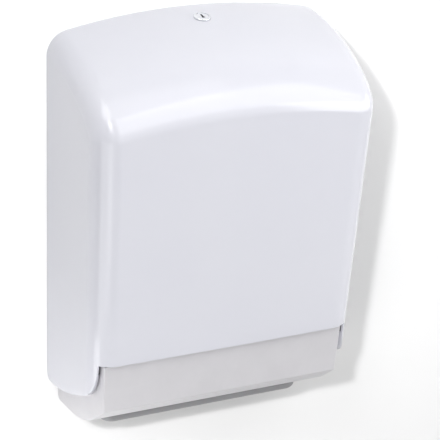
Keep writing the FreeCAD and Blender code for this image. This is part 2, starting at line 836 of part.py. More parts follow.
def spring_rivets():
    inner = plate_half_width - plate_thickness
    outer = plate_half_width + spring_thickness
    rivets = []
    for height in rivet_heights():
        shank = rod(1.6, at(inner, 7, height), FreeCAD.Vector(1, 0, 0), outer - inner)
        head = rod(2.6, at(outer, 7, height), FreeCAD.Vector(1, 0, 0), 0.9)
        tail = rod(2.4, at(inner - 1.0, 7, height), FreeCAD.Vector(1, 0, 0), 1.0)
        head = head.makeFillet(0.6, [e for e in head.Edges if e.CenterOfMass.x > outer + 0.8])
        rivet = shank.fuse([head, tail]).removeSplitter()
        rivets.extend([rivet, mirrored(rivet)])
    return rivets


# Rubber buffers on the plate's top flange


def hood_buffer(plate):
    across = buffer_x / hood_half_width
    top = hood_height - hood_wall - arch_drop * across ** 2 - buffer_gap
    slope = 2 * arch_drop * buffer_x / hood_half_width ** 2
    top -= slope * buffer_radius
    head = rod(buffer_radius, at(buffer_x, 6, top - 14), FreeCAD.Vector(0, 0, 1), 14)
    head = head.makeFillet(1.2, [e for e in head.Edges if e.CenterOfMass.z > top - 0.1])
    below = plate_block(0.0, -1.0, plate_flange + 5)
    stem = rod(2.0, at(buffer_x, 6, top - 15), FreeCAD.Vector(0, 0, 1), 12)
    barb = rod(3.0, at(buffer_x, 6, top - 16.5), FreeCAD.Vector(0, 0, 1), 3.0)
    under = plate_block(plate_thickness, -1.0, plate_flange + 5)
    head = head.cut(below)
    return largest(head.fuse([stem, barb.common(under)]).cut(plate).removeSplitter())


def pair(name, piece):
    save(name + "_right", [piece])
    save(name + "_left", [mirrored(piece)])


tray_screw_seat = tray_back + tray_wall
guide_screw_seat = plate_thickness + guide_thickness
keeper_screw_seat = plate_thickness + keeper_thickness

os.makedirs("parts", exist_ok=True)
plate_solid = back_plate()
tray_solid = tray()
buffer_solid = hood_buffer(plate_solid)
save("back_plate", [plate_solid])
save("tray", [tray_solid])
save("outlet_rim", [outlet_rim(tray_solid)])
save("stop_pads", stop_pads())
save("tray_screws", front_screws(tray_screw_places(), tray_screw_seat, tray_screw_seat - 0.4))
pair("towel_guide", guide())
save("guide_screws", front_screws(guide_screw_places(), guide_screw_seat, guide_screw_seat - 0.4))
save("keeper_bracket", [keeper_bracket()])
save("keeper_screws", front_screws(keeper_screw_places(), keeper_screw_seat, keeper_screw_seat - 0.4))
pair("hood_spring", hood_spring())
save("spring_rivets", spring_rivets())
save("hood_buffers", [buffer_solid, mirrored(buffer_solid)])
pair("hinge_pin", hinge_pin())
save("hinge_clips", [hinge_clip(), mirrored(hinge_clip())])
save("hood", [hood()])
pair("hinge_bush", hinge_bush())
save("lock_barrel", [lock_barrel()])
save("lock_nut", [lock_nut()])
save("lock_washer", [lock_washer()])
save("lock_plug", [lock_plug()])
save("lock_wafers", lock_wafers())
save("lock_cam", [lock_cam()])
save("cam_washer", [cam_washer()])
save("cam_screw", [cam_screw()])
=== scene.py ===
"""Wall dispenser for folded paper towels: mouldings, fasteners and finishes, in a plain studio."""
import json
import math

import bmesh
import bpy
from bpy.props import FloatProperty, FloatVectorProperty, IntProperty, PointerProperty
from bpy.types import Operator, Panel, PropertyGroup
from mathutils import Matrix, Vector
from mathutils.geometry import delaunay_2d_cdt


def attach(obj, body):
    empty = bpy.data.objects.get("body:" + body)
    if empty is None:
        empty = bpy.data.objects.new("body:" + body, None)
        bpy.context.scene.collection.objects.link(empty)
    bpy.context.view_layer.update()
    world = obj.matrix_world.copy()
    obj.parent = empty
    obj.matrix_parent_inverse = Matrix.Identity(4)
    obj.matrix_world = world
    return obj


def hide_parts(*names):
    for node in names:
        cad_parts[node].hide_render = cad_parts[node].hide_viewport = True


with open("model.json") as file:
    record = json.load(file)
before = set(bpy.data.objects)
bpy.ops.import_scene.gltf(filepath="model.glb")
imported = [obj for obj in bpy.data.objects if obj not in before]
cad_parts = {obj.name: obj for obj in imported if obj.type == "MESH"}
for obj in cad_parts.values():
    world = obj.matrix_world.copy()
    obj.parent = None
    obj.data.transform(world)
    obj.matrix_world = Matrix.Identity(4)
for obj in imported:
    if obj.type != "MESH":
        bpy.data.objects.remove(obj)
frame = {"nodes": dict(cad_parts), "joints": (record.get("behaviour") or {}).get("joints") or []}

bl_info = {
    "name": "Folded towel dispenser",
    "version": (1, 0, 0),
    "blender": (4, 5, 0),
    "location": "View3D > Sidebar > Dispenser",
    "description": "Builds the dispenser's hood, rim, lock and fasteners, their finishes and a studio",
    "category": "Add Mesh",
}

# Height of the frame's origin above the underside of the outlet rim
ORIGIN_HEIGHT = 0.215
# The hood's hinge: distance from the wall, and height above the rim's underside
HINGE = (0.032, 0.044)
SMOOTH_ANGLE = math.radians(32)
HOOD_SMOOTH_ANGLE = math.radians(38)
# Points of the hood that are closer than this are one point
SAME_POINT = 0.00015


# ---- sizes and colours


def length(name, about, value):
    return FloatProperty(name=name, description=about, default=value, unit="LENGTH", precision=4)


def number(name, about, value):
    return FloatProperty(name=name, description=about, default=value)


def power(name, about, value):
    return FloatProperty(name=name, description="Power of the " + about, default=value, unit="POWER")


def angle(name, about, degrees):
    return FloatProperty(name=name, description=about, default=math.radians(degrees), subtype="ANGLE")


def colour(name, about, value):
    return FloatVectorProperty(name=name, description=about, default=value, subtype="COLOR", size=3, min=0,
                               max=1)


class HoodSizes(PropertyGroup):
    half_width: length("Half width", "Half the hood's width at the wall", 0.145)
    height: length("Height", "Top of the arch above the rim's underside", 0.405)
    depth: length("Depth", "Reach of the shoulder from the wall", 0.136)
    wall: length("Wall", "Thickness of the moulding", 0.003)
    corner: length("Corner", "Radius between the front and the sides", 0.025)
    shoulder: length("Shoulder", "Height at which the straight front begins", 0.334)
    lean: number("Lean", "How far the front leans back per unit of height", 0.076)
    arch: length("Arch", "Fall of the top from the middle to the sides", 0.0164)
    bow: length("Bow", "Fall of the front from the middle to the sides", 0.0021)
    taper: number("Side taper", "Inward lean of the sides at the front", 0.032)
    front_edge: length("Front edge", "Height of the hood's lower front edge", 0.0915)
    back_gap: length("Back gap", "Clearance to the wall", 0.001)
    edge_round: length("Edge rounding", "Radius of the moulding's free edges", 0.0008)


class RimSizes(PropertyGroup):
    half_width: length("Half width", "Half the outlet's width at the bar's middle line", 0.104)
    back: length("Back", "Depth of the rear bar's middle line", 0.016)
    front: length("Front", "Depth of the front bar's middle line", 0.060)
    corner: length("Corner", "Bend radius of the bar's middle line", 0.009)
    bar: length("Bar radius", "Radius of the round bar", 0.0045)


class FastenerSizes(PropertyGroup):
    head: length("Head radius", "Radius of the pan heads", 0.004)
    head_height: length("Head height", "Height of the pan heads", 0.0024)
    shank: length("Shank radius", "Radius of the screws' shanks", 0.002)
    rivet_head: length("Rivet head", "Radius of the spring rivets' heads", 0.0026)
    sides: IntProperty(name="Sides", description="Faces round each fastener", default=36, min=12)


class FinishColours(PropertyGroup):
    white_shell: colour("Shell", "Glossy moulded hood", (0.795, 0.80, 0.865))
    # The rim's dark grey is painted shade: the satin bar is darkened to stand for the shade under the front
    # strip
    grey_rim: colour("Rim", "Satin bar round the outlet", (0.30, 0.30, 0.31))
    grey_body: colour("Body", "Satin tray", (0.735, 0.724, 0.752))
    sheet: colour("Sheet", "Powder coat on the pressed sheet", (0.66, 0.67, 0.69))
    zinc: colour("Zinc", "Zinc plating", (0.55, 0.58, 0.62))
    bright: colour("Bright", "Polished plating of the lock", (0.66, 0.67, 0.70))
    spring: colour("Spring", "Tempered spring strip", (0.42, 0.43, 0.46))
    rubber: colour("Rubber", "Moulded rubber", (0.022, 0.022, 0.024))
    bush: colour("Bush", "Natural bearing plastic", (0.76, 0.74, 0.68))
    brass: colour("Brass", "Stamped wafers", (0.60, 0.42, 0.16))


class StudioSettings(PropertyGroup):
    turn: angle("Camera turn", "Camera's angle to the left of the front", 25.716)
    tilt: angle("Camera height", "Camera's angle above the level", 22.954)
    roll: angle("Camera roll", "Camera's turn about its own view", 2.146)
    focal: FloatProperty(name="Focal length", description="Focal length in millimetres", default=155.4545,
                         unit="CAMERA")
    top_light: power("Top light", "two softboxes overhead", 14.6)
    key_light: power("Key light", "two lights at the upper left", 6.6)
    fill_light: power("Fill light", "two wide lights at the right", 24.0)
    main_light: power("Main light", "softbox that marks the shoulder", 10.6)
    low_light: power("Low light", "lights at the lower left", 4.4)
    low_front_light: power("Low front light", "light under the front", 0.8)
    wall_light: power("Wall light", "light that casts the shadow on the wall", 34.0)
    rear_light: power("Rear light", "light behind the wall", 12.0)
    below: number("Light from below", "Strength of the surroundings below", 0.50)
    above: number("Light from above", "Strength of the surroundings above", 0.08)


# ---- shapes


def place(x, depth, height):
    """A point from its distances to the right, out from the wall and up from the rim's underside."""
    return Vector((x, -depth, height - ORIGIN_HEIGHT))


def spaced(low, high, steps):
    """Even steps from one value to another, with both of them."""
    return [low + (high - low) * k / steps for k in range(steps + 1)]


def crossing(rule, low, high):
    """Where a rule that changes sign once between two values does so."""
    rising = rule(low) < rule(high)
    for _ in range(34):
        middle = (low + high) / 2
        if (rule(middle) < 0) == rising:
            low = middle
        else:
            high = middle
    return (low + high) / 2


def cubic(points, u):
    """A point of a cubic curve with four control points, and its direction."""
    v = 1 - u
    weights = (v ** 3, 3 * v * v * u, 3 * v * u * u, u ** 3)
    slopes = (-3 * v * v, 3 * v * v - 6 * v * u, 6 * v * u - 3 * u * u, 3 * u * u)
    point = [sum(w * p[k] for w, p in zip(weights, points)) for k in (0, 1)]
    slope = [sum(w * p[k] for w, p in zip(slopes, points)) for k in (0, 1)]
    return point, slope


class HoodForm:
    """The hood's outer surface in (right, depth, height): bowed front and top, round corners, flat sides."""

    straight_run = 0.30

    def __init__(self, sizes):
        self.s = sizes
        over = (sizes.height - sizes.shoulder) * 0.54
        self.profile_points = (
            (0.0, sizes.height),
            (sizes.depth * 0.40, sizes.height),
            (sizes.depth + sizes.lean * over, sizes.shoulder + over),
            (sizes.depth, sizes.shoulder),
        )
        self.side_slope = sizes.taper / sizes.depth

    def profile(self, u):
        if u <= 1:
            return cubic(self.profile_points, u)
        run = (u - 1) * self.straight_run
        point = (self.s.depth - self.s.lean * run, self.s.shoulder - run)
        return point, (-self.s.lean * self.straight_run, -self.straight_run)

    def front(self, x, u):
        (depth, height), (p, q) = self.profile(u)
        across = x / self.s.half_width
        a = -2 * self.s.bow * across / self.s.half_width
        b = -2 * self.s.arch * across / self.s.half_width
        point = Vector((x, depth - self.s.bow * across ** 2, height - self.s.arch * across ** 2))
        return point, Vector((a * q - b * p, -q, p)).normalized()

    def side_x(self, depth, height):
        return self.s.half_width - self.side_slope * (self.s.shoulder - height) * depth

    def side_normal(self, depth, height):
        slope = self.side_slope
        return Vector((1, slope * (self.s.shoulder - height), -slope * depth)).normalized()

    def ball(self, u):
        """Where a ball of the corner's radius touches the front, its centre and its touching directions."""
        radius = self.s.corner

        def gap(x):
            point, normal = self.front(x, u)
            centre = point - radius * normal
            across = self.side_normal(centre.y, centre.z)
            return (self.side_x(centre.y, centre.z) - centre.x) * across.x - radius

        x = crossing(gap, self.s.half_width - 2.4 * radius, self.s.half_width)
        point, normal = self.front(x, u)
        centre = point - radius * normal
        foot = centre + radius * self.side_normal(centre.y, centre.z)
        return x, centre, normal, self.side_normal(foot.y, foot.z)

    def at(self, column, u):
        """A surface point and its normal; columns 0 to 1 run across the front, 1 to 2 round the corner."""
        x, centre, front_way, side_way = self.ball(u)
        if column <= 1:
            return self.front(column * x, u)
        turn = front_way.angle(side_way)
        t = column - 1
        way = (math.sin((1 - t) * turn) * front_way + math.sin(t * turn) * side_way) / math.sin(turn)
        return centre + self.s.corner * way, way


LOBE_CURVES = (
    ((0.001, 0.041), (0.001, 0.033), (0.004, 0.0286), (0.0095, 0.0286)),
    ((0.0095, 0.0286), (0.042, 0.0288), (0.062, 0.0388), (0.089, 0.051)),
    ((0.089, 0.051), (0.101, 0.0564), (0.1075, 0.068), (0.1098, 0.0915)),
)


def lobe_outline(inset, top):
    """The lower edge of a hood side seen square on, moved inwards, from the wall to the front edge."""
    line = []
    for curve, steps in zip(LOBE_CURVES, (8, 26, 18)):
        for k in range(steps + 1):
            (depth, height), (p, q) = cubic(curve, k / steps)
            size = math.hypot(p, q)
            point = Vector((depth - inset * q / size, height + inset * p / size))
            if not line or (point - line[-1]).length > 1e-5:
                line.append(point)
    ahead = (line[-1] - line[-2]).normalized()
    line.append(line[-1] + ahead * (top - line[-1].y) / ahead.y)
    return line


def height_on(line, depth):
    for a, b in zip(line, line[1:]):
        if a.x <= depth <= b.x and b.x > a.x and a.x > 0.008:
            return a.y + (b.y - a.y) * (depth - a.x) / (b.x - a.x)
    return line[-1].y


class Skin:
    """Points, outward normals and faces of an open surface."""

    def __init__(self):
        self.points = []
        self.normals = []
        self.faces = []

    def add(self, point, normal):
        self.points.append(point)
        self.normals.append(normal)
        return len(self.points) - 1

    def strand(self, form, column, values):
        """Points down one column; where the round corner's inner side bunches them, a point is used again."""
        row = []
        for u in values:
            point, normal = form.at(column, u)
            if row and (point - self.points[row[-1]]).length < SAME_POINT:
                row.append(row[-1])
            else:
                row.append(self.add(point, normal))
        return row

    def face(self, corners):
        corners = list(dict.fromkeys(corners))
        if len(corners) > 2:
            self.faces.append(corners)


def hood_half(form, shape):
    """The right half of the hood's outer surface, its free edges held back by the edge rounding."""
    inset = shape.edge_round
    top_line = shape.front_edge + inset
    outline = lobe_outline(inset, top_line)
    corner_depth = outline[-1].x

    def start_of(column):
        return crossing(lambda u: form.at(column, u)[0].y - shape.back_gap - inset, 0.0, 0.4)

    def edge_of(column):
        return crossing(lambda u: form.at(column, u)[0].z - top_line, 1.0, 2.1)

    turn_in = crossing(lambda c: form.at(c, edge_of(c))[0].y - corner_depth, 1.0, 2.0)
    columns = spaced(0, 1, 26) + spaced(1, turn_in, 12)[1:] + spaced(turn_in, 2, 14)[1:]
    upper, lower, lobe = 56, 26, 12
    skin = Skin()
    grid = []
    for column in columns:
        start, edge = start_of(column), edge_of(column)
        values = spaced(start, 1, upper)[:-1] + spaced(1, edge, lower)
        if column > turn_in:
            end = crossing(lambda u: form.at(column, u)[0].z - height_on(outline, form.at(column, u)[0].y),
                           edge, 2.2)
            values += spaced(edge, end, lobe)[1:]
        row = skin.strand(form, column, values)
        if column == turn_in:
            row += [row[-1]] * lobe
        grid.append(row)
    for left, right in zip(grid, grid[1:]):
        for k in range(min(len(left), len(right)) - 1):
            skin.face([left[k], left[k + 1], right[k + 1], right[k]])
    side_patch(skin, form, shape, grid[-1], outline)
    return skin


def side_patch(skin, form, shape, corner_row, outline):
    """Fills a hood side between the round corner, the lobe's outline and the wall."""
    inset = shape.edge_round
    corner_row = list(dict.fromkeys(corner_row))
    border = [Vector((skin.points[i].y, skin.points[i].z)) for i in corner_row]
    count = len(border)
    border += [p for p in reversed(outline) if p.x < border[-1].x - 0.0015]
    back = shape.back_gap + inset
    border += [Vector((back, height)) for height in spaced(border[-1].y, border[0].y, 60)[1:-1]]
    spacing = 0.007
    inner = []
    for i in range(1, 20):
        for j in range(0, 60):
            point = Vector((i * spacing, 0.03 + (j + 0.5 * (i % 2)) * spacing))
            if well_inside(point, border, 0.6 * spacing):
                inner.append(point)
    made = delaunay_2d_cdt(border + inner, [], [list(range(len(border)))], 1, 1e-7)
    index = []
    for point, sources in zip(made[0], made[3]):
        known = [i for i in sources if i < count]
        if known:
            index.append(corner_row[known[0]])
        else:
            spot = Vector((form.side_x(point.x, point.y), point.x, point.y))
            index.append(skin.add(spot, form.side_normal(point.x, point.y)))
    for face in made[2]:
        corners = [index[i] for i in face]
        a, b, c = (skin.points[i] for i in corners[:3])
        # (right, depth, height) is left-handed, so an outward face turns the other way here
        if (b - a).cross(c - a).x > 0:
            corners.reverse()
        skin.face(corners)


def well_inside(point, border, margin):
    inside = False
    for a, b in zip(border, border[1:] + border[:1]):
        if (a.y > point.y) != (b.y > point.y):
            if point.x < a.x + (b.x - a.x) * (point.y - a.y) / (b.y - a.y):
                inside = not inside
        along = b - a
        t = max(0.0, min(1.0, (point - a).dot(along) / max(along.length_squared, 1e-12)))
        if (a + t * along - point).length < margin:
            return False
    return inside


def both_halves(half):
    """The half surface and its mirror image, in the frame's own directions, joined on the middle line."""
    whole = Skin()
    right = [whole.add(place(*p), Vector((n.x, -n.y, n.z))) for p, n in zip(half.points, half.normals)]
    left = []
    for i, (p, n) in enumerate(zip(half.points, half.normals)):
        on_middle = abs(p.x) < 1e-7
        left.append(right[i] if on_middle else whole.add(place(-p.x, p.y, p.z), Vector((-n.x, -n.y, n.z))))
    for face in half.faces:
        whole.face([right[i] for i in face])
        whole.face([left[i] for i in reversed(face)])
    return whole


def rim_ways(skin):
    """The free edge's points in order, each with the direction that leaves the surface across the edge."""
    directed = dict.fromkeys(pair for face in skin.faces for pair in zip(face, face[1:] + face[:1]))
    following = {a: b for a, b in directed if (b, a) not in directed}
    first = next(iter(following))
    loop = [first]
    while following[loop[-1]] != first:
        loop.append(following[loop[-1]])
    if len(loop) != len(following):
        raise RuntimeError("the surface has more than one free edge")
    ways = []
    for k, here in enumerate(loop):
        normal = skin.normals[here]
        before = (skin.points[here] - skin.points[loop[k - 1]]).normalized().cross(normal)
        after = (skin.points[loop[(k + 1) % len(loop)]] - skin.points[here]).normalized().cross(normal)
        ways.append((before + after) / max(1 + before.dot(after), 0.5))
    return loop, ways


def walled(skin, wall, rounding):
    """A closed shell of even thickness behind a surface, its free edge rolled round."""
    points = list(skin.points)
    inner = [len(points) + i for i in range(len(points))]
    points += [p - wall * n for p, n in zip(skin.points, skin.normals)]
    faces = list(skin.faces) + [[inner[i] for i in reversed(face)] for face in skin.faces]
    loop, ways = rim_ways(skin)
    rings = [(rounding * math.sin(t), rounding * (1 - math.cos(t))) for t in spaced(0, math.pi / 2, 4)[1:]]
    rings += [(out, wall - down) for out, down in reversed(rings)]
    rows = [loop]
    for out, down in rings:
        row = []
        for i, way in zip(loop, ways):
            row.append(len(points))
            points.append(skin.points[i] + out * way - down * skin.normals[i])
        rows.append(row)
    rows.append([inner[i] for i in loop])
    return points, faces + bands(rows)


def mesh_of(name, points, faces):
    mesh = bpy.data.meshes.new(name)
    mesh.from_pydata([tuple(p) for p in points], [], faces)
    mesh.update()
    return mesh


def add_object(name, mesh):
    piece = bpy.data.objects.new(name, mesh)
    bpy.context.scene.collection.objects.link(piece)
    return piece


def add_mesh(name, points, faces):
    return add_object(name, mesh_of(name, points, faces))


def bands(rows):
    """Faces between rings of point numbers, in which a point that comes twice counts once."""
    faces = []
    for near, far in zip(rows, rows[1:]):
        for k in range(len(near)):
            m = (k + 1) % len(near)
            corners = list(dict.fromkeys((near[m], near[k], far[k], far[m])))
            if len(corners) > 2:
                faces.append(corners)
    return faces


def turned(profile, sides, matrix):
    """Points and faces of a closed solid, a profile of (radius, height) turned about the matrix's Z axis."""
    points, rows = [], []
    for radius, height in profile:
        on_axis = radius < 1e-7
        rows.append([len(points)] * sides if on_axis else [len(points) + k for k in range(sides)])
        for turn in [0] if on_axis else spaced(0, 2 * math.pi, sides)[:-1]:
            points.append(matrix @ Vector((radius * math.cos(turn), radius * math.sin(turn), height)))
    if profile[0][0] > 1e-7:
        rows.append(rows[0])
    return points, bands(rows[::-1])


def enclosed(points, faces):
    """Six times the volume inside a closed surface, negative if its faces look inwards."""
    return sum(points[face[0]].dot(points[b].cross(points[c]))
               for face in faces for b, c in zip(face[1:], face[2:]))


def outward(points, faces):
    """A closed solid with its faces turned to look outwards."""
    return points, faces if enclosed(points, faces) > 0 else [face[::-1] for face in faces]


def lofted(rows):
    """Points and faces of a closed solid through rings of points, one after another."""
    points = [point for row in rows for point in row]
    ring = len(rows[0])
    numbers = [list(range(low, low + ring)) for low in range(0, len(points), ring)]
    return outward(points, [numbers[0], numbers[-1][::-1]] + bands(numbers))


def join_into(mesh, *parts):
    """Fills a mesh with the faces of these meshes."""
    whole = bmesh.new()
    for part in parts:
        whole.from_mesh(part)
    whole.to_mesh(mesh)
    whole.free()


def round_over(mesh, angle=SMOOTH_ANGLE):
    """Shades round faces smooth and leaves the corners crisp."""
    if "custom_normal" in mesh.attributes:
        mesh.attributes.remove(mesh.attributes["custom_normal"])
    mesh.shade_smooth()
    mesh.set_sharp_from_angle(angle=angle)


def frozen(piece):
    """The piece's mesh with its modifiers carried out."""
    depsgraph = bpy.context.evaluated_depsgraph_get()
    mesh = bpy.data.meshes.new_from_object(piece.evaluated_get(depsgraph), depsgraph=depsgraph)
    old = piece.data
    piece.modifiers.clear()
    piece.data = mesh
    if old.users == 0:
        bpy.data.meshes.remove(old)
    return mesh


def cut_away(piece, points, faces):
    """Takes a closed solid out of a piece."""
    tool = add_mesh(piece.name + "_tool", points, faces)
    cutter = piece.modifiers.new("Cut", "BOOLEAN")
    cutter.operation = "DIFFERENCE"
    cutter.solver = "EXACT"
    cutter.object = tool
    frozen(piece)
    mesh = tool.data
    bpy.data.objects.remove(tool)
    bpy.data.meshes.remove(mesh)


def check_outward(mesh):
    """Stops if a closed mesh encloses a negative volume."""
    if enclosed([v.co for v in mesh.vertices], [list(p.vertices) for p in mesh.polygons]) <= 0:
        raise RuntimeError(mesh.name + " is inside out")


def finished(piece, body, slot, *nodes, finish=None):
    """Gives a piece its finish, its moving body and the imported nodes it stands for."""
    piece.data.materials.clear()
    piece.data.materials.append(finish_for(finish or slot))
    for face in piece.data.polygons:
        face.material_index = 0
    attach(piece, body)
    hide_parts(*nodes)


def dress(body, **slots):
    """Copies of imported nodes, listed by slot, with joined corners, smooth round faces and their finish."""
    for slot, nodes in slots.items():
        for node in nodes.split():
            shell = bmesh.new()
            shell.from_mesh(frame["nodes"][node].data)
            bmesh.ops.remove_doubles(shell, verts=shell.verts, dist=2e-6)
            bmesh.ops.dissolve_degenerate(shell, edges=shell.edges, dist=1e-6)
            mesh = bpy.data.meshes.new(node + "_finished")
            shell.to_mesh(mesh)
            shell.free()
            round_over(mesh)
            finished(add_object(node + "_finished", mesh), body, slot, node)
    return {"FINISHED"}


# ---- geometry node trees


class Nodes:
    """Adds nodes to a node tree, their inputs linked to sockets or set to plain values."""

    def __init__(self, tree):
        self.tree = tree

    def feed(self, socket, value):
        if isinstance(value, bpy.types.NodeSocket):
            self.tree.links.new(value, socket)
        else:
            socket.default_value = value

    def add(self, kind, settings=None, **values):
        """A new node; in the names of its inputs _ stands for a space."""
        node = self.tree.nodes.new(kind)
        for key, value in (settings or {}).items():
            setattr(node, key, value)
        for key, value in values.items():
            self.feed(node.inputs[key.replace("_", " ")], value)
        return node

    def step(self, kind, settings=None, output=0, **values):
        return self.add(kind, settings, **values).outputs[output]

    def fed(self, kind, settings, *values):
        """The first output of a new node whose inputs are fed in their order."""
        node = self.add(kind, settings)
        for socket, value in zip(node.inputs, values):
            self.feed(socket, value)
        return node.outputs[0]

    def maths(self, operation, *values):
        return self.fed("ShaderNodeMath", {"operation": operation}, *values)


class Tree(Nodes):
    """A node tree for one kind of repeated or swept form, with named inputs."""

    def __init__(self, name):
        super().__init__(bpy.data.node_groups.new(name, "GeometryNodeTree"))
        self.tree.interface.new_socket(name="Geometry", in_out="OUTPUT", socket_type="NodeSocketGeometry")
        self.inputs = {}
        self.source, self.sink = self.add("NodeGroupInput"), self.add("NodeGroupOutput")

    def input(self, name, kind):
        item = self.tree.interface.new_socket(name=name, in_out="INPUT", socket_type="NodeSocket" + kind)
        self.inputs[name] = item.identifier
        return next(s for s in self.source.outputs if s.identifier == item.identifier)

    def end(self, geometry):
        """Every tree ends by making its instances real and setting their material."""
        material = self.input("Finish", "Material")
        real = self.step("GeometryNodeRealizeInstances", Geometry=geometry)
        coated = self.step("GeometryNodeSetMaterial", Geometry=real, Material=material)
        self.feed(self.sink.inputs[0], coated)
        return self

    def made(self, name, mesh, values):
        """A plain mesh object from this tree with these input values."""
        piece = add_object(name, mesh)
        maker = piece.modifiers.new("Form", "NODES")
        maker.node_group = self.tree
        for key, value in values.items():
            maker[self.inputs[key]] = value
        frozen(piece)
        return piece


def swept_rim_tree():
    """A round bar along a rounded rectangle lying level."""
    tree = Tree("Swept rim")
    width, reach, corner, bar = (
        tree.input(name, "Float") for name in ("Width", "Length", "Corner", "Bar radius"))
    middle = tree.input("Middle", "Vector")
    path = tree.step("GeometryNodeCurvePrimitiveQuadrilateral", Width=width, Height=reach)
    bent = tree.step("GeometryNodeFilletCurve", {"mode": "POLY"}, Curve=path, Count=12, Radius=corner)
    section = tree.step("GeometryNodeCurvePrimitiveCircle", Resolution=32, Radius=bar)
    swept = tree.step("GeometryNodeCurveToMesh", Curve=bent, Profile_Curve=section)
    return tree.end(tree.step("GeometryNodeTransform", Geometry=swept, Translation=middle))


def fastener_tree(name):
    """One fastener form set on every point, turned to face the way that is given."""
    tree = Tree(name)
    seats, form = tree.input("Seats", "Geometry"), tree.input("Form", "Object")
    facing, spread = tree.input("Facing", "Rotation"), tree.input("Turn spread", "Float")
    shape = tree.step("GeometryNodeObjectInfo", {"transform_space": "ORIGINAL"}, "Geometry", Object=form)
    turn = tree.maths("MULTIPLY", tree.step("GeometryNodeInputIndex"), spread)
    own = tree.step("FunctionNodeEulerToRotation", Euler=tree.step("ShaderNodeCombineXYZ", Z=turn))
    way = tree.step("FunctionNodeRotateRotation", {"rotation_space": "LOCAL"}, Rotation=facing, Rotate_By=own)
    return tree.end(tree.step("GeometryNodeInstanceOnPoints", Points=seats, Instance=shape, Rotation=way))


# ---- finishes


class Finish(Nodes):
    """One material, its pattern read in the object's own coordinates."""

    def __init__(self, name, colour, roughness, metallic):
        self.material = bpy.data.materials.new(name)
        self.material.use_nodes = True
        super().__init__(self.material.node_tree)
        self.shader = self.tree.nodes["Principled BSDF"]
        self.colour = tuple(colour) + (1.0,)
        self.set(Base_Color=self.colour, Roughness=roughness, Metallic=metallic, Specular_IOR_Level=0.5)
        self.places = self.step("ShaderNodeTexCoord", None, "Object")
        self.relief = {}

    def set(self, **values):
        for key, value in values.items():
            self.feed(self.shader.inputs[key.replace("_", " ")], value)

    def mapped(self, scale=(1, 1, 1), turn=(0, 0, 0), shift=(0, 0, 0)):
        return self.step("ShaderNodeMapping", Location=shift, Rotation=turn, Scale=scale, Vector=self.places)

    def noise(self, scale, detail=2.0, roughness=0.5, places=None):
        return self.step("ShaderNodeTexNoise", None, "Fac", Scale=scale, Detail=detail, Roughness=roughness,
                         Vector=places or self.places)

    def cells(self, scale, output):
        return self.step("ShaderNodeTexVoronoi", None, output, Scale=scale, Vector=self.places)

    def pattern(self, value):
        """A pattern's output, or the noise with these values."""
        return self.noise(*value) if isinstance(value, tuple) else value

    def ranged(self, pattern, low, high):
        """Spreads the middle of a pattern's range over these values."""
        return self.step("ShaderNodeMapRange", From_Min=0.3, From_Max=0.7, To_Min=low, To_Max=high,
                         Value=self.pattern(pattern))

    def tint(self, pattern, other, share):
        """Blends the base colour towards another, given by shares of its own red, green and blue."""
        node = self.add("ShaderNodeMix", {"data_type": "RGBA"})
        mixed = tuple(c * s for c, s in zip(self.colour, other)) + (1.0,)
        for socket, colour in zip((s for s in node.inputs if s.type == "RGBA"), (self.colour, mixed)):
            socket.default_value = colour
        self.feed(node.inputs[0], self.ranged(pattern, 0.0, share))
        self.set(Base_Color=next(s for s in node.outputs if s.type == "RGBA"))

    def rough(self, pattern, low, high):
        self.set(Roughness=self.ranged(pattern, low, high))

    def bump(self, pattern, depth):
        """Adds relief of a real depth in metres; calls stack."""
        height = self.step("ShaderNodeBump", Distance=depth, Strength=1.0, Height=self.pattern(pattern),
                           **self.relief)
        self.relief = {"Normal": height}
        self.set(**self.relief)


def gloss_moulding(finish):
    """Glossy injection-moulded shell: faint flow mottle, long soft waves and fine handling marks."""
    finish.set(Coat_Weight=0.25, Coat_Roughness=0.08, IOR=1.49)
    finish.tint((9.0, 3.0), (0.975, 0.975, 0.985), 0.8)
    finish.rough((70.0, 5.0, 0.65), 0.10, 0.15)
    finish.bump((420.0, 1.0), 0.000004)
    finish.bump((24.0, 1.0), 0.00002)


def satin_moulding(finish):
    """Satin moulding with an even spark-eroded grain."""
    finish.set(IOR=1.47)
    finish.tint((30.0, 4.0, 0.6), (0.95, 0.95, 0.95), 0.9)
    finish.rough((160.0, 3.0), 0.34, 0.46)
    finish.bump((2600.0, 2.0, 0.6), 0.000018)
    finish.bump((18.0, 1.0), 0.00003)


def powder_coat(finish):
    """Powder coat on pressed sheet: orange-peel waves with fine speckle."""
    finish.tint((900.0, 3.0, 0.7), (0.90, 0.90, 0.90), 0.7)
    finish.rough((120.0, 3.0), 0.32, 0.46)
    finish.bump(finish.cells(1500.0, "Distance"), 0.000012)
    finish.bump((330.0, 2.0), 0.00004)


def zinc_plate(finish):
    """Clear zinc plating: small spangles, a bluish cast and fine drawing lines."""
    finish.tint(finish.cells(380.0, "Color"), (0.82, 0.88, 1.0), 0.8)
    finish.rough((240.0, 4.0, 0.6), 0.22, 0.42)
    finish.bump((1200.0, 2.0), 0.000008)


def spring_strip(finish):
    """Tempered strip, rolled along its length, with a straw cast."""
    rolled = finish.noise(900.0, 3.0, 0.5, finish.mapped(scale=(1.0, 0.04, 1.0)))
    finish.tint((60.0, 3.0), (1.05, 0.93, 0.78), 0.7)
    finish.rough(rolled, 0.18, 0.36)
    finish.bump(rolled, 0.000006)


def lock_turn_matrix():
    """The lock's own frame: its centre on the hood's surface, Z out along the key."""
    joint = next(j for j in frame["joints"] if j["name"] == "lock_turn")
    seat, axis = Vector(joint["pos_m"]), Vector(joint["axis"]).normalized()
    tilt = math.atan2(-axis.y, axis.z)
    return Matrix.Translation(seat) @ Matrix.Rotation(tilt, 4, "X"), tilt


